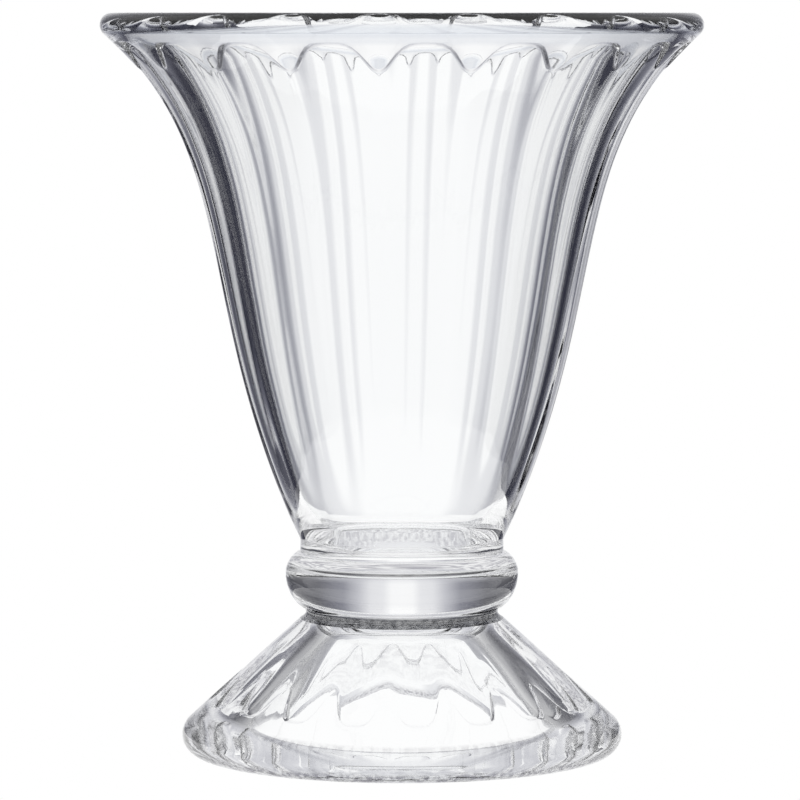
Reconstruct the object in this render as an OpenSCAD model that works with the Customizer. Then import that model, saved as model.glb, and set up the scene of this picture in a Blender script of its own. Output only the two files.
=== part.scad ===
// Footed parfait glass in pressed clear glass: a fluted tulip bowl and a fluted
// hollow foot, each fused hot to the solid knop between them.
// Lengths are in millimetres. The origin is the centre of the ring that the glass
// rests on, +Z runs up the axis, and -Y is the front.

/* [Bowl] */
// Height of the bowl, from the top of the knop to the top of the lip
bowl_h = 86; // [76:0.5:96]
// Diameter of the narrow neck where the bowl meets the knop
neck_d = 32.6; // [28:0.2:34]
// Height of the straight neck at the bottom of the bowl
neck_h = 2; // [1:0.1:3]
// Diameter that the lower part of the bowl swells to
belly_d = 61.8; // [54:0.2:68]
// How fast the bowl swells from the neck
belly_turn = 2.6; // [2:0.1:3.2]
// Diameter at the top of the flare, under the lip
flare_d = 92.6; // [86:0.2:93]
// How late the wall flares out below the lip
flare_turn = 5.5; // [4:0.1:8]
// Thickness of the wall, square to it
wall_t = 3; // [2.2:0.1:3.6]
// Thickness of the glass under the bowl's floor
floor_t = 0.8; // [0.6:0.1:4]
// Radius of the corner between the floor and the wall
floor_corner_r = 2; // [1:0.1:4]
// Extra glass in the wall's heel, at the floor
heel_t = 1; // [0.2:0.1:2]
// Height over which the heel thins out
heel_h = 12; // [6:0.5:20]

/* [Lip] */
// Diameter over the rounded lip
lip_d = 96; // [95:0.2:106]
// Thickness of the lip's round bead
lip_t = 3.9; // [3:0.1:4.2]
// Height of the plain band at the top, with the bead
lip_h = 4.4; // [4.4:0.1:7]
// Width of the fine mould ledge where the fluted glass meets the plain band and the foot's edge
ledge_w = 0.15; // [0.1:0.01:0.4]

/* [Flutes] */
// Number of flutes around the bowl and around the foot
flutes = 19; // [12:1:21]
// Share of the round that is left as plain lands between the flutes
land_share = 0.24; // [0.15:0.01:0.4]
// Turn of the first flute from the front towards +X, in degrees
flute_turn = 4.7; // [0:0.1:19]
// Depth of a bowl flute at the top of the flare
bowl_flute_depth = 1; // [0.4:0.1:1.6]
// Height of the round arch at the top of a bowl flute
arch_h = 6; // [4:0.1:9]
// Plain height between the top of an arch and the lip's band
arch_gap = 0.4; // [0.3:0.1:4]
// Height from the knop to the bottom of a bowl flute
bowl_flute_start = 3.6; // [2:0.1:8]
// Height of the round end at the bottom of a bowl flute
bowl_flute_round = 6; // [3:0.1:8]

/* [Knop] */
// Height of the knop, from the foot to the bowl
knop_h = 10.8; // [9.4:0.1:14]
// Largest diameter of the knop's bead
knop_d = 37.3; // [35:0.1:42]
// Radius of the bead's rounding
knop_bead_r = 5.1; // [4.2:0.1:5.3]
// Height of the middle of the bead above the foot
knop_bead_z = 6.5; // [5.2:0.1:8]
// Depth of the round groove between the foot and the bead
groove_depth = 0.6; // [0.3:0.05:1]

/* [Foot] */
// Height of the foot, from the ground to the knop
foot_h = 21.8; // [19:0.1:28]
// Largest diameter of the foot
foot_d = 70.6; // [62:0.2:78]
// Radius of the foot's rounded edge
edge_r = 3.2; // [2.4:0.1:4]
// Diameter at the top of the foot's sloping flank
shoulder_d = 34.8; // [34.2:0.1:38]
// Height of the small step between the flank and the knop
shoulder_h = 1; // [0.4:0.1:2]
// Diameter of the hollow under the foot
hollow_d = 53; // [44:0.2:56]
// Thickness of the glass over the hollow
hollow_roof_t = 2.2; // [1.2:0.1:8]
// Diameter that the hollow's straight side reaches at its roof
hollow_top_d = 22; // [16:0.5:28]
// Radius of the corner between the hollow's side and its roof
hollow_corner_r = 6; // [3:0.5:8]
// Width of the bevel around the mouth of the hollow
hollow_bevel = 1.5; // [0.5:0.1:2.5]
// Depth of a foot flute
foot_flute_depth = 0.8; // [0.4:0.1:1.6]
// Height of the bottom of a foot flute above the ground
foot_flute_start = 8.3; // [6.8:0.1:11]
// Height of the round end at the bottom of a foot flute
foot_flute_round = 4.6; // [3:0.1:6]
// Plain height between a foot flute and the top of the flank
foot_flute_gap = 0.6; // [0.3:0.1:2]
// Height of the round end at the top of a foot flute
foot_flute_tip = 2.4; // [1.5:0.1:4]

/* [Hidden] */
$fn = 96;
// How far a cut runs past the surface that it opens
overrun = 2;
// How far the root of the lip's band runs down inside the wall
lip_root = 2;
glass_color = [0.86, 0.9, 0.92, 0.55];

// Heights that the sizes above lead to
wall_top = bowl_h - lip_h;
bowl_z = foot_h + knop_h;
neck_r = neck_d/2;
belly_r = belly_d/2;
flare_r = flare_d/2;
bead_r = lip_t/2;
lip_centre = [lip_d/2 - bead_r, bowl_h - bead_r];
edge_centre = [foot_d/2 - edge_r, edge_r];
flank_top = [shoulder_d/2, foot_h - shoulder_h];
hollow_r = hollow_d/2;
hollow_h = foot_h - hollow_roof_t;

// Places across a flute, from one edge at -1 to the other at 1
across_shares = [-1, -0.7, -0.35, 0, 0.35, 0.7, 1];
// Places up a flute, from its bottom end at 0 to its top end at 1
bowl_row_shares = [0, 0.006, 0.06, 0.14, 0.23, 0.32, 0.41, 0.5, 0.59, 0.68, 0.77, 0.85, 0.92, 0.965, 0.994, 1];
foot_row_shares = [0, 0.03, 0.15, 0.35, 0.55, 0.75, 0.92, 0.985, 1];
// How much steeper a flute's round ends are than its long sides
end_steepness = 8;
// How quickly the flutes get shallow where the glass gets narrow
flute_fade = 2;
// Steps in the curves of the bowl's inside and of the foot's hollow
corner_steps = 6;
wall_steps = 16;
hollow_steps = 8;

pitch = 360/flutes;
flute_half = pitch*(1 - land_share)/2;

// Outside and inside of the bowl at a height above the knop
function up(h) = min(1, max(0, (h - neck_h)/(wall_top - neck_h)));
function swell(u) = (belly_r - neck_r)*(1 - pow(1 - u, belly_turn));
function flare(u) = (flare_r - belly_r)*pow(u, flare_turn);
function bowl_r(h) = neck_r + swell(up(h)) + flare(up(h));
function swell_rate(u) = (belly_r - neck_r)*belly_turn*pow(1 - u, belly_turn - 1);
function flare_rate(u) = (flare_r - belly_r)*flare_turn*pow(u, flare_turn - 1);
function bowl_slope(h) = (swell_rate(up(h)) + flare_rate(up(h)))/(wall_top - neck_h);
function wall_r(h) = bowl_r(h) - wall_t*sqrt(1 + pow(bowl_slope(h), 2));
function heel_at(h) = heel_t*pow(max(0, 1 - h/heel_h), 2);
function above_floor(h) = min(1, max(0, (h - floor_t)/floor_corner_r));
function corner_at(h) = floor_corner_r*(1 - arch(1 - above_floor(h)));
function inside_r(h) = wall_r(h) - heel_at(h) - corner_at(h);

// Outside of the foot at a height above the ground: a straight flank that is
// tangent to the rounded edge
function from(a, b) = b - a;
function edge_touch(p, c, r, side) =
    let (v = from(c, p), a = atan2(v[1], v[0]) + side*acos(r/norm(v))) c + r*[cos(a), sin(a)];
flank_bottom = edge_touch(flank_top, edge_centre, edge_r, -1);
flank_run = from(flank_bottom, flank_top);
function flank_r(z) = flank_bottom[0] + flank_run[0]*(z - flank_bottom[1])/flank_run[1];

// Half section of the hollow: a straight side, and a round corner to its roof
hollow_lean = atan2(hollow_r - hollow_top_d/2, hollow_h);
function hollow_side(z) = [hollow_r - z*tan(hollow_lean), z];
hollow_bend = hollow_side(hollow_h - hollow_corner_r*(1 - sin(hollow_lean)));
hollow_centre = hollow_bend - hollow_corner_r*[cos(hollow_lean), sin(hollow_lean)];

// A flute is a shallow scoop with steep round ends. It is 1 deep on its middle line
// and 0 on its edge, where t runs across it and e runs into one of its ends.
function arch(t) = sqrt(max(0, 1 - t*t));
function scoop(t, e) = max(0, min(1 - t*t, end_steepness*(1 - t*t - e*e)));
function end_line(t, end, round) = end + round*(1 - arch(t));
function row_z(t, share, low, low_round, high, high_round) =
    let (a = end_line(t, low, low_round), b = end_line(t, high, -high_round)) a + share*(b - a);
function end_share(z, low, low_round, high, high_round) =
    max(0, (low + low_round - z)/low_round, (z - high + high_round)/high_round);

// One closed skin of revolution, with a row of points for each height
front_turn = -90;
function column_turn(i) =
    let (n = len(across_shares)) front_turn + flute_turn + floor(i/n)*pitch + across_shares[i%n]*flute_half;
function column_share(i) = across_shares[i%len(across_shares)];
function on_circle(r, a, z) = [r*cos(a), r*sin(a), z];
columns = flutes*len(across_shares);
module skin(rows) {
    count = len(rows);
    points = [for (row = rows) each row];
    sides = [
        for (j = [0:count - 2], i = [0:columns - 1])
            let (a = j*columns + i, b = j*columns + (i + 1)%columns)
                each [[a, b + columns, b], [a, a + columns, b + columns]]
    ];
    bottom = [for (i = [0:columns - 1]) i];
    top = [for (i = [columns - 1:-1:0]) (count - 1)*columns + i];
    polyhedron(points = points, faces = concat(sides, [bottom, top]), convexity = 10);
}
function plain_row(r, z) = [for (i = [0:columns - 1]) on_circle(r, column_turn(i), z)];

// Rows of the bowl's outside, from the knop to the plain band under the lip
flute_top = wall_top - arch_gap;
function bowl_dip(t, h) =
    let (e = end_share(h, bowl_flute_start, bowl_flute_round, flute_top, arch_h))
        bowl_flute_depth*pow(bowl_r(h)/flare_r, flute_fade)*scoop(t, e);
function bowl_point(i, share) =
    let (
        t = column_share(i),
        h = row_z(t, share, bowl_flute_start, bowl_flute_round, flute_top, arch_h)
    ) on_circle(bowl_r(h) - bowl_dip(t, h), column_turn(i), h);
function bowl_rows() = concat(
    [plain_row(bowl_r(0), 0), plain_row(bowl_r(neck_h), neck_h)],
    [for (share = bowl_row_shares) [for (i = [0:columns - 1]) bowl_point(i, share)]],
    [plain_row(bowl_r(wall_top) - ledge_w, wall_top)]
);

// Rows of the foot's outside, from the rounded edge to the step under the knop
foot_flute_top = flank_top[1] - foot_flute_gap;
function foot_dip(t, z) =
    let (e = end_share(z, foot_flute_start, foot_flute_round, foot_flute_top, foot_flute_tip))
        foot_flute_depth*pow(flank_r(z)/flank_bottom[0], flute_fade)*scoop(t, e);
function foot_point(i, share) =
    let (
        t = column_share(i),
        z = row_z(t, share, foot_flute_start, foot_flute_round, foot_flute_top, foot_flute_tip)
    ) on_circle(flank_r(z) - foot_dip(t, z), column_turn(i), z);
flank_low = flank_bottom[1] + ledge_w;
function foot_rows() = concat(
    [plain_row(edge_centre[0], edge_centre[1]), plain_row(flank_r(flank_low), flank_low)],
    [for (share = foot_row_shares) [for (i = [0:columns - 1]) foot_point(i, share)]],
    [plain_row(flank_top[0], flank_top[1]), plain_row(neck_r, foot_h)]
);

// Space inside the bowl, up to the plain band
module bowl_inside() {
    corner_top = floor_t + floor_corner_r;
    last = wall_top - ledge_w;
    low = [for (i = [0:corner_steps]) floor_t + floor_corner_r*pow(i/corner_steps, 2)];
    high = [for (i = [1:wall_steps]) corner_top + (last - corner_top)*i/wall_steps];
    curve = [for (h = concat(low, high)) [inside_r(h), h]];
    rotate_extrude()
        polygon(concat(
            [[0, floor_t]],
            curve,
            [[inside_r(last) + overrun*bowl_slope(last), last + overrun], [0, last + overrun]]
        ));
}

// Plain band and round bead at the top of the wall
module lip() {
    wall_out = [bowl_r(wall_top), wall_top];
    wall_in = [inside_r(wall_top) + ledge_w, wall_top];
    touch_in = edge_touch(wall_in, lip_centre, bead_r, -1);
    rise = from(wall_in, touch_in);
    rotate_extrude() {
        polygon([
            wall_in - lip_root*rise/norm(rise),
            wall_out,
            edge_touch(wall_out, lip_centre, bead_r, 1),
            touch_in
        ]);
        translate(lip_centre)
            circle(r = bead_r);
    }
}

module bowl() {
    color(glass_color)
        translate([0, 0, bowl_z]) {
            difference() {
                skin(bowl_rows());
                bowl_inside();
            }
            lip();
        }
}

// Solid knop: a round bead on a short grooved neck
module knop() {
    bead = [knop_d/2 - knop_bead_r, knop_bead_z];
    groove_h = bead[1] - sqrt(pow(knop_bead_r, 2) - pow(neck_r - bead[0], 2));
    groove_r = (pow(groove_h/2, 2) + pow(groove_depth, 2))/(2*groove_depth);
    color(glass_color)
        translate([0, 0, foot_h])
            rotate_extrude()
                intersection() {
                    union() {
                        difference() {
                            square([neck_r, knop_h]);
                            translate([neck_r - groove_depth + groove_r, groove_h/2])
                                circle(r = groove_r);
                        }
                        translate(bead)
                            circle(r = knop_bead_r);
                    }
                    square([knop_d, knop_h]);
                }
}

// Rounded edge of the foot, flat where it rests
module foot_edge() {
    rotate_extrude() {
        polygon([[0, 0], [edge_centre[0], 0], edge_centre, flank_bottom, [0, flank_bottom[1]]]);
        intersection() {
            translate(edge_centre)
                circle(r = edge_r);
            square([foot_d, flank_bottom[1]]);
        }
    }
}

// Hollow under the foot, with a bevelled mouth
module foot_hollow() {
    mouth = [hollow_r + hollow_bevel, 0];
    bevel_top = hollow_side(hollow_bevel);
    corner = [
        for (i = [0:hollow_steps])
            let (a = hollow_lean + (90 - hollow_lean)*i/hollow_steps)
                hollow_centre + hollow_corner_r*[cos(a), sin(a)]
    ];
    rotate_extrude()
        polygon(concat(
            [
                [0, -overrun],
                mouth + overrun*(mouth - bevel_top)/hollow_bevel,
                bevel_top
            ],
            corner,
            [[0, hollow_h]]
        ));
}

module foot() {
    color(glass_color)
        difference() {
            union() {
                skin(foot_rows());
                foot_edge();
            }
            foot_hollow();
        }
}

bowl();
knop();
foot();
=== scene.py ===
import math
import bpy
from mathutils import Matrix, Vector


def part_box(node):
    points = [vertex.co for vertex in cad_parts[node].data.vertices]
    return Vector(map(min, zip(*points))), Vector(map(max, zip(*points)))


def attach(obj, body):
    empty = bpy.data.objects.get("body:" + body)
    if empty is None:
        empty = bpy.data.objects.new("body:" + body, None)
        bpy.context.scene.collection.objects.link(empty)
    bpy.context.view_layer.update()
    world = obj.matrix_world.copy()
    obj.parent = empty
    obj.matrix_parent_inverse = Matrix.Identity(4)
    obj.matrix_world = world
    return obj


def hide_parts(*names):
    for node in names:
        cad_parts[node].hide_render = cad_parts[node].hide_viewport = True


# Footed parfait glass in clear pressed glass, in metres.
# +Z is the axis, -Y is the front, and the ground is at z = 0.
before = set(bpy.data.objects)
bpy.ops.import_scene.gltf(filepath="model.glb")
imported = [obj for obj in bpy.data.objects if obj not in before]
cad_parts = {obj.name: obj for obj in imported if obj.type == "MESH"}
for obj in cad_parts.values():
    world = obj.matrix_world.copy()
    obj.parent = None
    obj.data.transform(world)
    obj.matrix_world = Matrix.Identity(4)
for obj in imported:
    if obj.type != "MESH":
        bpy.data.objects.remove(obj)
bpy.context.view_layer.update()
print("frame loaded")


# Camera
camera = {
    "place": (-0.0003, -0.784, 0.1185),
    "aim": 0.0568,          # height on the axis that it looks at
    "sensor": 36,           # millimetres, as Blender counts lenses
    "viewWidth": 0.128,     # width of the picture at the axis
}


def addCamera():
    x, y, z = camera["place"]
    drop = z - camera["aim"]
    lens = camera["sensor"] * math.hypot(y, drop) / camera["viewWidth"]
    tilt = math.pi / 2 - math.atan2(drop, -y)
    bpy.ops.object.camera_add(location=(x, y, z), rotation=(tilt, 0, 0))
    cam = bpy.context.object
    cam.name = "camera"
    cam.data.sensor_width = camera["sensor"]
    cam.data.lens = lens
    bpy.context.scene.camera = cam
    return cam


cam = addCamera()


# Sizes that the pieces share
neckRadius = 0.0163         # of the round faces where the three portions are fused


def solidSizes(node):
    # heights and widest radius of a solid, to a hundredth of a millimetre
    low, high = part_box(node)
    return {"bottom": round(low[2], 5), "top": round(high[2], 5), "radius": round(high[0], 5)}


# Flutes
# Nineteen shallow scoops run round the bowl and round the foot, with plain
# lands between them.
flutes = {
    "count": 19,
    "landShare": 0.16,      # share of the round that the lands take
    "turn": 4.74,           # degrees from the front to the first flute
    "across": [0.2, 0.4, 0.58, 0.74, 0.86, 0.94, 0.98, 1],  # from a flute's middle line to its edge
    "onLand": [0.1, 0.3, 0.5, 0.7, 0.9],                    # over the width of a land
    "edgeSoft": 0.2,        # rounding of a flute's edges
    "blunt": 5.0,           # how broad the round ends are against the points between them
}


def fluteColumns():
    # (angle, place across the flute) of every column of points round the glass:
    # the place is 0 on a flute's middle line, -1 and 1 at its edges, and goes on over the land
    pitch = 2 * math.pi / flutes["count"]
    half = pitch * (1 - flutes["landShare"]) / 2
    gap = pitch - 2 * half
    start = math.radians(flutes["turn"] - 90)
    across = [-t for t in reversed(flutes["across"])] + [0] + flutes["across"]
    columns = []
    for i in range(flutes["count"]):
        middle = start + i * pitch
        columns += [(middle + t * half, t) for t in across]
        for s in flutes["onLand"]:
            columns.append((middle + half + s * gap, (half + min(s, 1 - s) * gap) / half))
    return columns


def scoop(t):
    # about 1 on the flute's middle line, and nearly 0 on the lands
    soft = flutes["edgeSoft"]
    return soft * math.log1p(math.exp((1 - t * t) / soft))


def archLine(t):
    # 1 in the middle of a flute's round end, 0 at the points between the flutes
    across = min(1, abs(t) * (1 - flutes["landShare"]))
    return 1 - math.sin(math.pi / 2 * across) ** flutes["blunt"]


def rise(distance, width):
    # goes smoothly from 0 to 1 over the width
    s = min(1, max(0, distance / width))
    return s * s * (3 - 2 * s)


# Turned shapes, which the bowl, the knop and the foot all start from
mesh = {
    "seedSize": 0.01,       # plane that shrinks to a profile's first point
    "weld": 1e-6,           # points closer than this become one
    "slopeStep": 1e-5,      # height over which a wall's slope is measured
    "leastStep": 4e-5,      # a profile takes no point closer to the last one
    "flatNormal": 0.99,     # a face lies level when its normal is more upright than this
    "faceSlack": 1e-5,      # a fused face's middle is this close to its height
    "smoothAngle": 40,      # degrees: edges sharper than this stay sharp
    # rows of points near a flute's ends, as shares of its height
    "endShares": [0, 0.001, 0.003, 0.006, 0.01, 0.015, 0.021, 0.028, 0.037, 0.048, 0.062],
}


def deselectAll():
    if bpy.context.object and bpy.context.object.mode != "OBJECT":
        bpy.ops.object.mode_set(mode="OBJECT")
    bpy.ops.object.select_all(action="DESELECT")


def turnProfile(name, profile, steps):
    # draws the half section point by point, spins it round the axis and closes its poles
    deselectAll()
    bpy.ops.mesh.primitive_plane_add(size=mesh["seedSize"])
    piece = bpy.context.object
    piece.name = name
    bpy.ops.object.mode_set(mode="EDIT")
    bpy.ops.mesh.merge(type="CENTER")
    r, z = profile[0]
    bpy.ops.transform.translate(value=(r, 0, z))
    for (r0, z0), (r1, z1) in zip(profile, profile[1:]):
        bpy.ops.mesh.extrude_region_move(TRANSFORM_OT_translate={"value": (r1 - r0, 0, z1 - z0)})
    bpy.ops.mesh.select_all(action="SELECT")
    bpy.ops.mesh.spin(steps=steps, angle=2 * math.pi, center=(0, 0, 0), axis=(0, 0, 1))
    bpy.ops.mesh.select_all(action="SELECT")
    bpy.ops.mesh.remove_doubles(threshold=mesh["weld"])
    bpy.ops.mesh.normals_make_consistent(inside=False)
    bpy.ops.object.mode_set(mode="OBJECT")
    return piece


def endShares(steps):
    # shares from 0 to 1 that are close together at both ends
    near = mesh["endShares"]
    middle = [near[-1] + (1 - 2 * near[-1]) * i / steps for i in range(1, steps)]
    return near + middle + [1 - s for s in reversed(near)]


def addRow(rows, r, z, **more):
    # adds a point to a profile, unless it lies on the last one
    last = rows[-1]
    if math.hypot(r - last["r"], z - last["z"]) > mesh["leastStep"]:
        rows.append({"r": r, "z": z, **more})


def reshape(piece, rows, placePoint):
    # moves every point of a spun piece to where placePoint(row, t) puts it
    # (no operator cuts scoops with arched ends along a flared wall)
    columns = fluteColumns()
    step = 2 * math.pi / len(columns)
    weld = mesh["weld"]
    known = {(round(row["r"] / weld), round(row["z"] / weld)): row for row in rows}
    for v in piece.data.vertices:
        r, z = math.hypot(v.co.x, v.co.y), v.co.z
        row = None
        for dr in (0, 1, -1):
            for dz in (0, 1, -1):
                row = row or known.get((round(r / weld) + dr, round(z / weld) + dz))
        if row is None or row["r"] == 0:
            continue
        k = round(math.atan2(v.co.y, v.co.x) / step) % len(columns)
        angle, t = columns[k]
        newR, newZ = placePoint(row, t)
        v.co = (newR * math.cos(angle), newR * math.sin(angle), newZ)
    piece.data.update()


def finishPiece(piece, node, faceZ):
    # smooth shading, and the faces where the glass goes on into the next piece
    deselectAll()
    piece.select_set(True)
    bpy.context.view_layer.objects.active = piece
    bpy.ops.object.shade_smooth_by_angle(angle=math.radians(mesh["smoothAngle"]))
    piece.data.materials.append(glassFor[node])
    piece.data.materials.append(fusedGlass)
    for face in piece.data.polygons:
        level = abs(face.normal.z) > mesh["flatNormal"]
        if level and any(abs(face.center.z - z) < mesh["faceSlack"] for z in faceZ):
            face.material_index = 1
    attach(piece, "root")
    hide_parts(node)
    deselectAll()


# Bowl
bowl = {
    **solidSizes("bowl"),
    "neckHeight": 0.002,
    "bellyRadius": 0.0309,
    "bellyTurn": 2.6,       # how soon the bowl swells out over the neck
    "flareRadius": 0.0463,
    "flareTurn": 5.5,       # how late it flares under the lip
    "wall": 0.003,
    "floor": 0.0008,        # glass under the floor
    "corner": 0.0008,       # rounding between floor and wall
    "heel": 0.0022,         # extra glass low in the wall
    "heelHeight": 0.01,
    "lipHeight": 0.0044,
    "lipBead": 0.00195,
    "fluteDepth": 0.0008,
    "fluteFade": 2.0,       # how fast the flutes get shallow down the bowl
    "fluteLow": 0.0036,
    "fluteDeepens": 0.018,  # height over which a flute deepens from its low end
    "fluteGap": 0.0001,     # from the arches' tops to the lip
    "archHeight": 0.004,
    "ledge": 0.0002,        # how far the plain band stands out over the flutes' lands
    "ledgeWidth": 0.0008,
    "floorShares": [0.3, 0.6, 0.8, 0.92, 1],
    "cornerSteps": 14,
    "wallSteps": 48,
    "lipSteps": 28,
    "fluteSteps": 64,
    "neckShares": [0.8, 0.6, 0.4, 0.2, 0],
}
bowl["wallTop"] = bowl["top"] - bowl["bottom"] - bowl["lipHeight"]
bowl["fluteTop"] = bowl["wallTop"] - bowl["fluteGap"]


def bowlRadius(h):
    # outside of the wall at a height over the bowl's bottom, without its flutes
    u = min(1, max(0, (h - bowl["neckHeight"]) / (bowl["wallTop"] - bowl["neckHeight"])))
    swell = (bowl["bellyRadius"] - neckRadius) * (1 - (1 - u) ** bowl["bellyTurn"])
    flare = (bowl["flareRadius"] - bowl["bellyRadius"]) * u ** bowl["flareTurn"]
    return neckRadius + swell + flare


def bowlSlope(h):
    low = h - mesh["slopeStep"]
    high = min(h + mesh["slopeStep"], bowl["wallTop"])
    return (bowlRadius(high) - bowlRadius(low)) / (high - low)


def insideRadius(h):
    # inside of the wall, with the heel and the rounding over the floor
    heel = bowl["heel"] * max(0, 1 - h / bowl["heelHeight"]) ** 2
    r = bowlRadius(h) - bowl["wall"] * math.sqrt(1 + bowlSlope(h) ** 2) - heel
    u = min(1, (h - bowl["floor"]) / bowl["corner"])
    return r - bowl["corner"] * (1 - math.sqrt(max(0, 1 - (1 - u) ** 2)))


def touch(point, centre, radius, side):
    # angle at which a line from the point touches the circle round the centre
    across, up = point[0] - centre[0], point[1] - centre[1]
    return math.atan2(up, across) + side * math.acos(radius / math.hypot(across, up))


def bowlRows():
    # from the middle of the floor up the inside, over the lip and down the outside
    rows = [{"r": 0, "z": bowl["floor"]}]
    for share in bowl["floorShares"]:
        addRow(rows, insideRadius(bowl["floor"]) * share, bowl["floor"])
    for i in range(1, bowl["cornerSteps"] + 1):
        turn = math.pi / 2 * i / bowl["cornerSteps"]
        h = bowl["floor"] + bowl["corner"] * (1 - math.cos(turn))
        addRow(rows, insideRadius(h), h)
    low, top = bowl["floor"] + bowl["corner"], bowl["wallTop"]
    for i in range(1, bowl["wallSteps"] + 1):
        h = low + (top - low) * i / bowl["wallSteps"]
        addRow(rows, insideRadius(h), h)
    bead = bowl["lipBead"]
    centre = (bowl["radius"] - bead, top + bowl["lipHeight"] - bead)
    wallOut = (bowlRadius(top), top)
    start = touch((insideRadius(top), top), centre, bead, -1)
    end = touch(wallOut, centre, bead, 1)
    if start < end:
        start += 2 * math.pi
    for i in range(bowl["lipSteps"] + 1):
        a = start + (end - start) * i / bowl["lipSteps"]
        addRow(rows, centre[0] + bead * math.cos(a), centre[1] + bead * math.sin(a))
    addRow(rows, *wallOut)
    lowEnd, highEnd = bowl["fluteLow"], bowl["fluteTop"] - bowl["archHeight"]
    for share in reversed(endShares(bowl["fluteSteps"])):
        h = lowEnd + share * (highEnd - lowEnd)
        addRow(rows, bowlRadius(h), h, share=share)
    for share in bowl["neckShares"]:
        h = bowl["neckHeight"] + (bowl["fluteLow"] - bowl["neckHeight"]) * share
        addRow(rows, bowlRadius(h), h)
    addRow(rows, neckRadius, 0)
    rows.append({"r": 0, "z": 0})
    for row in rows:
        row["z"] += bowl["bottom"]
    return rows


def bowlPoint(row, t):
    if "share" not in row:
        return row["r"], row["z"]
    low, high = bowl["fluteLow"], bowl["fluteTop"] - bowl["archHeight"] * (1 - archLine(t))
    h = low + row["share"] * (high - low)
    r, slope = bowlRadius(h), bowlSlope(h)
    fade = (r / bowl["flareRadius"]) ** bowl["fluteFade"]
    depth = fade * (bowl["ledge"] + bowl["fluteDepth"] * scoop(t))
    depth *= rise(high - h, bowl["ledgeWidth"]) * rise(h - low, bowl["fluteDeepens"])
    lean = math.sqrt(1 + slope ** 2)
    return r - depth / lean, bowl["bottom"] + h + depth * slope / lean


# Knop
knop = {
    **solidSizes("knop"),
    "beadRadius": 0.0051,   # rounding of the bead, from its middle outwards
    "beadHeight": 0.0073,   # from the bottom to the bead's widest line
    "beadAbove": 0.0043,    # the bead's half height over that line
    "beadBelow": 0.0062,
    "groove": 0.0009,       # how deep the neck under the bead is hollowed
    "topGap": 0.0001,       # the bead is cut off this far under the top
    "grooveSteps": 20,
    "beadSteps": 48,
    "roundSteps": 180,
}


def knopProfile():
    # from the axis out along the bottom, up the groove, round the bead and back along the top
    bottom, top = knop["bottom"], knop["top"]
    middle = (knop["radius"] - knop["beadRadius"], bottom + knop["beadHeight"])
    reach = math.acos((neckRadius - middle[0]) / knop["beadRadius"])
    low = middle[1] - knop["beadBelow"] * math.sin(reach)
    points = [(0, bottom), (neckRadius, bottom)]
    for i in range(1, knop["grooveSteps"]):
        s = i / knop["grooveSteps"]
        hollow = 4 * s * (1 - s) * knop["groove"]   # deepest halfway up
        points.append((neckRadius - hollow, bottom + s * (low - bottom)))
    for i in range(knop["beadSteps"] + 1):
        a = -reach + 2 * reach * i / knop["beadSteps"]
        z = middle[1] + knop["beadBelow" if a < 0 else "beadAbove"] * math.sin(a)
        if z < top - knop["topGap"]:
            points.append((middle[0] + knop["beadRadius"] * math.cos(a), z))
    return points + [(neckRadius, top), (0, top)]


# Foot
foot = {
    **solidSizes("foot"),
    "shoulderRadius": 0.0174,
    "shoulderHeight": 0.001,
    "edge": 0.0032,         # rounding of the rim
    "hollowRadius": 0.0265,
    "hollowHeight": 0.0196,
    "hollowTop": 0.0100,    # radius that its straight side would reach at the top
    "hollowCrown": 0.0075,  # rounding between its side and its top
    "bevel": 0.0015,
    "fluteDepth": 0.0006,
    "fluteFade": 3.0,       # how fast the flutes get shallow up the foot
    "fluteLow": 0.0083,
    "lowArch": 0.0046,      # height of the flutes' round low ends
    "fluteGap": 0.0006,     # from the flutes' tips to the shoulder
    "fluteTip": 0.0024,     # height of their round tips
    "ledge": 0.00009,
    "ledgeWidth": 0.0008,
    "tipDeepens": 0.009,    # height over which a flute deepens from its tip
    "fluteSteps": 26,
    "edgeSteps": 24,
    "hollowSteps": 20,
    "crownSteps": 16,
    "plainShares": [0.75, 0.5, 0.25, 0],
}
foot["flankTop"] = (foot["shoulderRadius"], foot["top"] - foot["shoulderHeight"])
foot["fluteTop"] = foot["flankTop"][1] - foot["fluteGap"]
foot["edgeCentre"] = (foot["radius"] - foot["edge"], foot["edge"])
foot["edgeTurn"] = touch(foot["flankTop"], foot["edgeCentre"], foot["edge"], -1)
foot["flankBottom"] = (
    foot["edgeCentre"][0] + foot["edge"] * math.cos(foot["edgeTurn"]),
    foot["edgeCentre"][1] + foot["edge"] * math.sin(foot["edgeTurn"]),
)
foot["flankSlope"] = (
    (foot["flankTop"][0] - foot["flankBottom"][0]) / (foot["flankTop"][1] - foot["flankBottom"][1])
)


def flankRadius(z):
    # outside of the foot at a height, without its flutes
    return foot["flankBottom"][0] + foot["flankSlope"] * (z - foot["flankBottom"][1])


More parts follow.
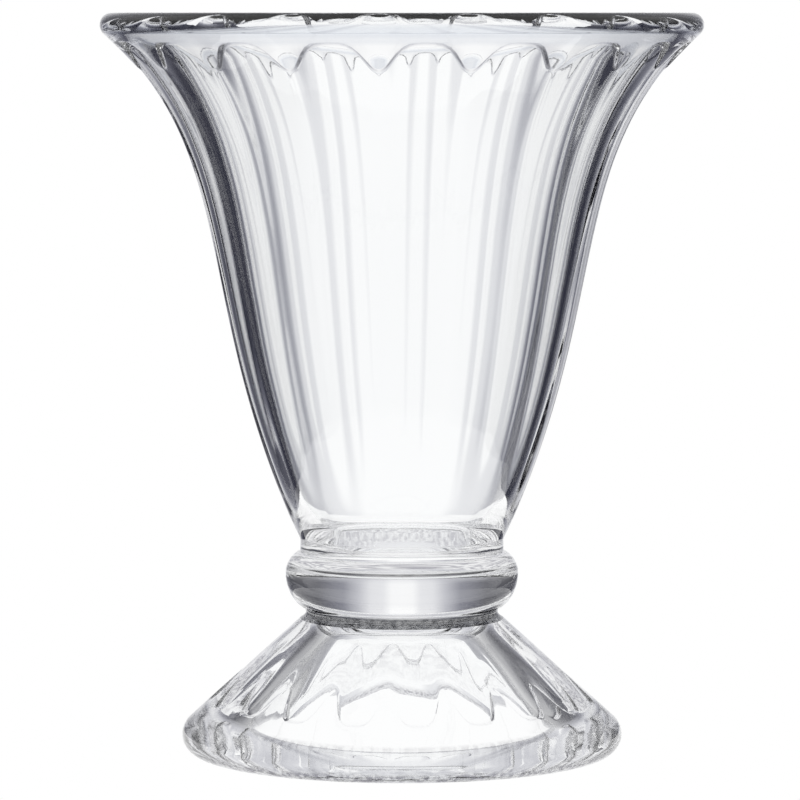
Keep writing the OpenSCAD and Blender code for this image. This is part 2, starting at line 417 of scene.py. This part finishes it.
def footRows():
    # from the middle of the top down the flank, round the rim and up the hollow
    rows = [{"r": 0, "z": foot["top"]}, {"r": neckRadius, "z": foot["top"]}]
    addRow(rows, *foot["flankTop"])
    lowEnd, highEnd = foot["fluteLow"] + foot["lowArch"], foot["fluteTop"] - foot["fluteTip"]
    for share in reversed(endShares(foot["fluteSteps"])):
        z = lowEnd + share * (highEnd - lowEnd)
        addRow(rows, flankRadius(z), z, share=share)
    for share in foot["plainShares"]:
        z = foot["flankBottom"][1] + share * (foot["fluteLow"] - foot["flankBottom"][1])
        addRow(rows, flankRadius(z), z)
    middle, edge = foot["edgeCentre"], foot["edge"]
    for i in range(1, foot["edgeSteps"] + 1):
        a = foot["edgeTurn"] + (-math.pi / 2 - foot["edgeTurn"]) * i / foot["edgeSteps"]
        addRow(rows, middle[0] + edge * math.cos(a), middle[1] + edge * math.sin(a))
    mouth = foot["hollowRadius"] + foot["bevel"]
    for share in foot["plainShares"]:
        addRow(rows, mouth + share * (middle[0] - mouth), 0)
    wide, tall, crown = foot["hollowRadius"], foot["hollowHeight"], foot["hollowCrown"]
    lean = math.atan2(wide - foot["hollowTop"], tall)
    bend = tall - crown * (1 - math.sin(lean))
    for i in range(foot["hollowSteps"] + 1):
        z = foot["bevel"] + (bend - foot["bevel"]) * i / foot["hollowSteps"]
        addRow(rows, wide - math.tan(lean) * z, z)
    crownRadius = wide - math.tan(lean) * bend - crown * math.cos(lean)
    for i in range(1, foot["crownSteps"] + 1):
        a = lean + (math.pi / 2 - lean) * i / foot["crownSteps"]
        addRow(rows, crownRadius + crown * math.cos(a), tall + crown * (math.sin(a) - 1))
    for share in foot["plainShares"]:
        addRow(rows, crownRadius * share, tall)
    return rows


def footPoint(row, t):
    if "share" not in row:
        return row["r"], row["z"]
    low = foot["fluteLow"] + foot["lowArch"] * (1 - archLine(t))
    high = foot["fluteTop"] - foot["fluteTip"] * (1 - archLine(t))
    z = low + row["share"] * (high - low)
    r, slope = flankRadius(z), foot["flankSlope"]
    fade = (r / foot["flankBottom"][0]) ** foot["fluteFade"]
    depth = fade * (foot["ledge"] + foot["fluteDepth"] * scoop(t))
    depth *= rise(z - low, foot["ledgeWidth"]) * rise(high - z, foot["tipDeepens"])
    lean = math.sqrt(1 + slope ** 2)
    return r - depth / lean, z + depth * slope / lean


# Glass
glass = {
    "tintAndShade": (0.985, 0.99, 0.992),
    "ior": 1.52,
    "roughness": 0.01,
    "waveScale": 90,        # waves to a metre
    "grainScale": 2600,     # grains to a metre
    "waveDetail": 1,
    "grainDetail": 2,
    "grainShare": 0.02,     # height of the grain against the waves
    "skinHeight": 0.00004,  # height of the waves
    "spotScale": 1100,      # spots to a metre
    "spotFrom": 0.4,        # value of the noise at which a spot starts
    "spotTo": 0.6,          # and at which it is full
}
# the lip's underside is made a little greyer with painted shade, the hollowed neck under the bead is
# painted dark as shade, and the ring under the foot is stippled, with dark spots of painted shade:
# each band goes from low to high, counted from a height of the glass, with its own painted shade and
# finish, and the share of the painted shade that comes in spots
# painted shade: a grey-blue band in the glass's colour under the lip
lipShadeBand = {
    "at": bowl["top"],
    "low": -0.004,
    "high": -0.0016,
    "soft": 0.0007,
    "tintAndShade": (0.78, 0.81, 0.86),
    "grain": 0.02,
    "roughness": 0.01,
    "spots": 0.1,
}
# painted shade: a near-black band in the glass's colour in the hollowed neck under the bead
grooveShadeBand = {
    "at": knop["bottom"],
    "low": -0.0006,
    "high": 0.0019,
    "soft": 0.0004,
    "tintAndShade": (0.03, 0.031, 0.034),
    "grain": 0.1,
    "roughness": 0.05,
    "spots": 0.1,
}
# the stippled ring under the foot: its grain and roughness are the real stipple, and its dark colour,
# mostly in spots, is painted shade
stippleAndShadeBand = {
    "at": foot["bottom"],
    "low": -0.002,
    "high": 0.0021,
    "soft": 0.001,
    "tintAndShade": (0.16, 0.155, 0.19),
    "grain": 0.2,
    "roughness": 0.03,
    "spots": 0.75,
    "plainGrain": 0.01,     # the foot's glass over the ring has less grain
}


def feed(tree, socket, value):
    # the value is another node's output or a plain number
    if isinstance(value, bpy.types.NodeSocket):
        tree.links.new(value, socket)
    else:
        socket.default_value = value


def mathNode(tree, operation, *values):
    node = tree.nodes.new("ShaderNodeMath")
    node.operation = operation
    for socket, value in zip(node.inputs, values):
        feed(tree, socket, value)
    return node


def glassNoise(tree, scale, detail):
    # noise that stays with the glass
    place, noise = tree.nodes.new("ShaderNodeTexCoord"), tree.nodes.new("ShaderNodeTexNoise")
    feed(tree, noise.inputs["Vector"], place.outputs["Object"])
    feed(tree, noise.inputs["Scale"], scale)
    feed(tree, noise.inputs["Detail"], detail)
    return noise.outputs["Fac"]


def colourMix(tree, share, plain, full):
    # sockets 6 and 7 are the two colours, and output 2 the mixed one
    mix = tree.nodes.new("ShaderNodeMix")
    mix.data_type = "RGBA"
    for place, value in ((0, share), (6, plain), (7, full)):
        feed(tree, mix.inputs[place], value)
    return mix.outputs[2]


def numberGroup(name, namesIn, namesOut):
    group = bpy.data.node_groups.new(name, "ShaderNodeTree")
    for names, side in ((namesIn, "INPUT"), (namesOut, "OUTPUT")):
        for socket in names:
            group.interface.new_socket(name=socket, in_out=side, socket_type="NodeSocketFloat")
    return group, group.nodes.new("NodeGroupInput").outputs, group.nodes.new("NodeGroupOutput").inputs


def pressedFinish():
    # the skin that pressing leaves on glass: slow waves, and a fine grain
    namesIn = ("Wave Scale", "Grain Scale", "Grain Share", "Roughness")
    group, given, result = numberGroup("pressedFinish", namesIn, ("Height", "Roughness"))
    wave = glassNoise(group, given["Wave Scale"], glass["waveDetail"])
    grain = glassNoise(group, given["Grain Scale"], glass["grainDetail"])
    height = mathNode(group, "MULTIPLY_ADD", grain, given["Grain Share"], wave)
    dull = mathNode(group, "MULTIPLY", grain, given["Roughness"])
    feed(group, result["Height"], height.outputs[0])
    feed(group, result["Roughness"], dull.outputs[0])
    return group


def heightBand():
    # 1 between two heights of the glass, with soft limits
    group, given, result = numberGroup("heightBand", ("From", "To", "Soft"), ("Mask",))
    place, split = group.nodes.new("ShaderNodeTexCoord"), group.nodes.new("ShaderNodeSeparateXYZ")
    feed(group, split.inputs[0], place.outputs["Object"])
    sides = []
    for more, less in ((split.outputs["Z"], given["From"]), (given["To"], split.outputs["Z"])):
        past = mathNode(group, "SUBTRACT", more, less)
        side = mathNode(group, "DIVIDE", past.outputs[0], given["Soft"])
        side.use_clamp = True
        sides.append(side.outputs[0])
    both = mathNode(group, "MULTIPLY", *sides)
    feed(group, result["Mask"], both.outputs[0])
    return group


finishGroup, bandGroup = pressedFinish(), heightBand()


def spottedShare(tree, mask, spots):
    # the share of a band's painted shade, part of which comes in spots
    sharp = tree.nodes.new("ShaderNodeMapRange")
    sharp.inputs["From Min"].default_value = glass["spotFrom"]
    sharp.inputs["From Max"].default_value = glass["spotTo"]
    sharp.inputs["To Min"].default_value = 1 - spots
    feed(tree, sharp.inputs["Value"], glassNoise(tree, glass["spotScale"], glass["grainDetail"]))
    return mathNode(tree, "MULTIPLY", mask, sharp.outputs["Result"]).outputs[0]


def glassMaterial(name, band=None, alpha=1):
    material = bpy.data.materials.new(name)
    material.use_nodes = True
    tree = material.node_tree
    shader = tree.nodes["Principled BSDF"]
    shader.inputs["Base Color"].default_value = (*glass["tintAndShade"], 1)
    shader.inputs["Transmission Weight"].default_value = 1
    shader.inputs["IOR"].default_value = glass["ior"]
    shader.inputs["Alpha"].default_value = alpha
    finish, bump = tree.nodes.new("ShaderNodeGroup"), tree.nodes.new("ShaderNodeBump")
    finish.node_tree = finishGroup
    finish.inputs["Wave Scale"].default_value = glass["waveScale"]
    finish.inputs["Grain Scale"].default_value = glass["grainScale"]
    finish.inputs["Grain Share"].default_value = glass["grainShare"]
    finish.inputs["Roughness"].default_value = glass["roughness"]
    bump.inputs["Strength"].default_value = 1
    bump.inputs["Distance"].default_value = glass["skinHeight"]
    feed(tree, bump.inputs["Height"], finish.outputs["Height"])
    feed(tree, shader.inputs["Normal"], bump.outputs["Normal"])
    feed(tree, shader.inputs["Roughness"], finish.outputs["Roughness"])
    if band:
        mask = tree.nodes.new("ShaderNodeGroup")
        mask.node_tree = bandGroup
        mask.inputs["From"].default_value = band["at"] + band["low"]
        mask.inputs["To"].default_value = band["at"] + band["high"]
        mask.inputs["Soft"].default_value = band["soft"]
        # the band's painted shade, partly in spots, is mixed into the glass's own colour
        share = spottedShare(tree, mask.outputs[0], band["spots"])
        tintAndShade = colourMix(tree, share, (*glass["tintAndShade"], 1), (*band["tintAndShade"], 1))
        feed(tree, shader.inputs["Base Color"], tintAndShade)
        plainGrain = band.get("plainGrain", glass["grainShare"])
        ranges = {
            "Grain Share": (plainGrain, band["grain"]),
            "Roughness": (glass["roughness"], band["roughness"]),
        }
        for socket, (plain, full) in ranges.items():
            amount = tree.nodes.new("ShaderNodeMapRange")
            amount.inputs["To Min"].default_value = plain
            amount.inputs["To Max"].default_value = full
            feed(tree, amount.inputs["Value"], mask.outputs[0])
            feed(tree, finish.inputs[socket], amount.outputs["Result"])
    return material


glassFor = {
    "bowl": glassMaterial("bowlGlass", band=lipShadeBand),
    "knop": glassMaterial("knopGlass", band=grooveShadeBand),
    "foot": glassMaterial("footGlass", band=stippleAndShadeBand),
}
fusedGlass = glassMaterial("fusedGlass", alpha=0)
print("materials ready")


def flutedPiece(name, rows, placePoint):
    piece = turnProfile(name, [(row["r"], row["z"]) for row in rows], len(fluteColumns()))
    reshape(piece, rows, placePoint)
    return piece


def buildBowl():
    piece = flutedPiece("fluted_bowl", bowlRows(), bowlPoint)
    finishPiece(piece, "bowl", [bowl["bottom"]])
    return piece


def buildKnop():
    piece = turnProfile("solid_knop", knopProfile(), knop["roundSteps"])
    finishPiece(piece, "knop", [knop["bottom"], knop["top"]])
    return piece


def buildFoot():
    piece = flutedPiece("fluted_foot", footRows(), footPoint)
    finishPiece(piece, "foot", [foot["top"]])
    return piece


for build in (buildBowl, buildKnop, buildFoot):
    made = build()
    print(made.name, len(made.data.vertices), "points")


# Studio
studio = {
    "tentRadius": 4.0,
    "tentRound": 64,
    # how bright the tent is low down and high up, by the angle from straight behind the glass
    # as a share of half a turn
    "low": [
        (0, 1), (0.02, 1), (0.035, 0.82), (0.06, 0.78), (0.085, 0.5), (0.12, 0.2),
        (0.2, 0.03), (0.5, 0.03), (0.6, 0.4), (0.75, 0.85), (1, 0.8),
    ],
    "high": [(0, 0.75), (0.1, 0.6), (0.2, 0.65), (0.3, 0.95), (1, 1)],
    # how far it has gone over from low to high, by the height in the tent
    "between": [(0, 0), (0.54, 0), (0.58, 0.4), (0.61, 0.5), (0.69, 1), (1, 1)],
    "cool": (1.03, 1.02, 0.9),  # powers for red, green and blue: dark cloth looks bluer
    "white": (1, 1, 1, 1),
    "floorRadius": 0.1,
    "floorRound": 96,
    "floorGap": 0.00005,        # from the floor up to the glass
}


def clothGrey(value):
    return (*(value ** power for power in studio["cool"]), 1)


def greyRamp(tree, stops, place):
    ramp = tree.nodes.new("ShaderNodeValToRGB")
    elements = ramp.color_ramp.elements
    elements.remove(elements[-1])
    elements[0].position = stops[0][0]
    elements[0].color = clothGrey(stops[0][1])
    for position, value in stops[1:]:
        elements.new(position).color = clothGrey(value)
    feed(tree, ramp.inputs[0], place)
    return ramp.outputs[0]


def glowMaterial(name):
    # a cloth or paper that only glows, and the socket for its colour
    material = bpy.data.materials.new(name)
    material.use_nodes = True
    tree = material.node_tree
    tree.nodes.clear()
    out, glow = tree.nodes.new("ShaderNodeOutputMaterial"), tree.nodes.new("ShaderNodeEmission")
    feed(tree, out.inputs["Surface"], glow.outputs[0])
    material.cycles.emission_sampling = "NONE"
    return material, glow.inputs["Color"]


def tentCloth():
    # brightness by the turn from straight behind the glass, and by the height
    material, colour = glowMaterial("tentCloth")
    tree = material.node_tree
    place, split = tree.nodes.new("ShaderNodeTexCoord"), tree.nodes.new("ShaderNodeSeparateXYZ")
    unit = tree.nodes.new("ShaderNodeVectorMath")
    unit.operation = "NORMALIZE"
    feed(tree, unit.inputs[0], place.outputs["Object"])
    feed(tree, split.inputs[0], unit.outputs[0])
    behind = mathNode(tree, "MULTIPLY", split.outputs["Z"], -1)
    turn = mathNode(tree, "ARCTAN2", split.outputs["X"], behind.outputs[0])
    size = mathNode(tree, "ABSOLUTE", turn.outputs[0])
    share = mathNode(tree, "DIVIDE", size.outputs[0], math.pi)
    lift = mathNode(tree, "ARCSINE", split.outputs["Y"])
    height = tree.nodes.new("ShaderNodeMapRange")
    height.inputs["From Min"].default_value = -math.pi / 2
    height.inputs["From Max"].default_value = math.pi / 2
    feed(tree, height.inputs["Value"], lift.outputs[0])
    low = greyRamp(tree, studio["low"], share.outputs[0])
    high = greyRamp(tree, studio["high"], share.outputs[0])
    between = greyRamp(tree, studio["between"], height.outputs["Result"])
    feed(tree, colour, colourMix(tree, between, low, high))
    return material


def addTent():
    # a light tent with dark side cloths, which is kept square to the camera
    deselectAll()
    rings = studio["tentRound"] // 2
    bpy.ops.mesh.primitive_uv_sphere_add(
        segments=studio["tentRound"], ring_count=rings, radius=studio["tentRadius"]
    )
    tent = bpy.context.object
    tent.name = "lightTent"
    tent.parent = cam
    tent.location = (0, 0, -math.hypot(camera["place"][1], camera["place"][2] - camera["aim"]))
    tent.data.materials.append(tentCloth())
    tent.visible_camera = False
    tent.visible_diffuse = False
    tent.visible_shadow = False


def addFloor():
    deselectAll()
    bpy.ops.mesh.primitive_circle_add(
        vertices=studio["floorRound"], radius=studio["floorRadius"], fill_type="NGON"
    )
    floor = bpy.context.object
    floor.name = "paleFloor"
    material, colour = glowMaterial("palePaper")
    colour.default_value = studio["white"]
    floor.data.materials.append(material)
    floor.location = (0, 0, -studio["floorGap"])


def addWorld():
    world = bpy.data.worlds.new("studio")
    bpy.context.scene.world = world
    world.use_nodes = True
    background = world.node_tree.nodes["Background"]
    background.inputs["Color"].default_value = studio["white"]
    background.inputs["Strength"].default_value = 1


addTent()
addFloor()
addWorld()
deselectAll()
print("studio ready")

# the many faces of the glass need many bounces, or they go dark
bounces = {"all": 24, "glossy": 12}
scene = bpy.context.scene
scene.view_settings.view_transform = "Standard"
scene.cycles.max_bounces = bounces["all"]
scene.cycles.transmission_bounces = bounces["all"]
scene.cycles.transparent_max_bounces = bounces["all"]
scene.cycles.glossy_bounces = bounces["glossy"]
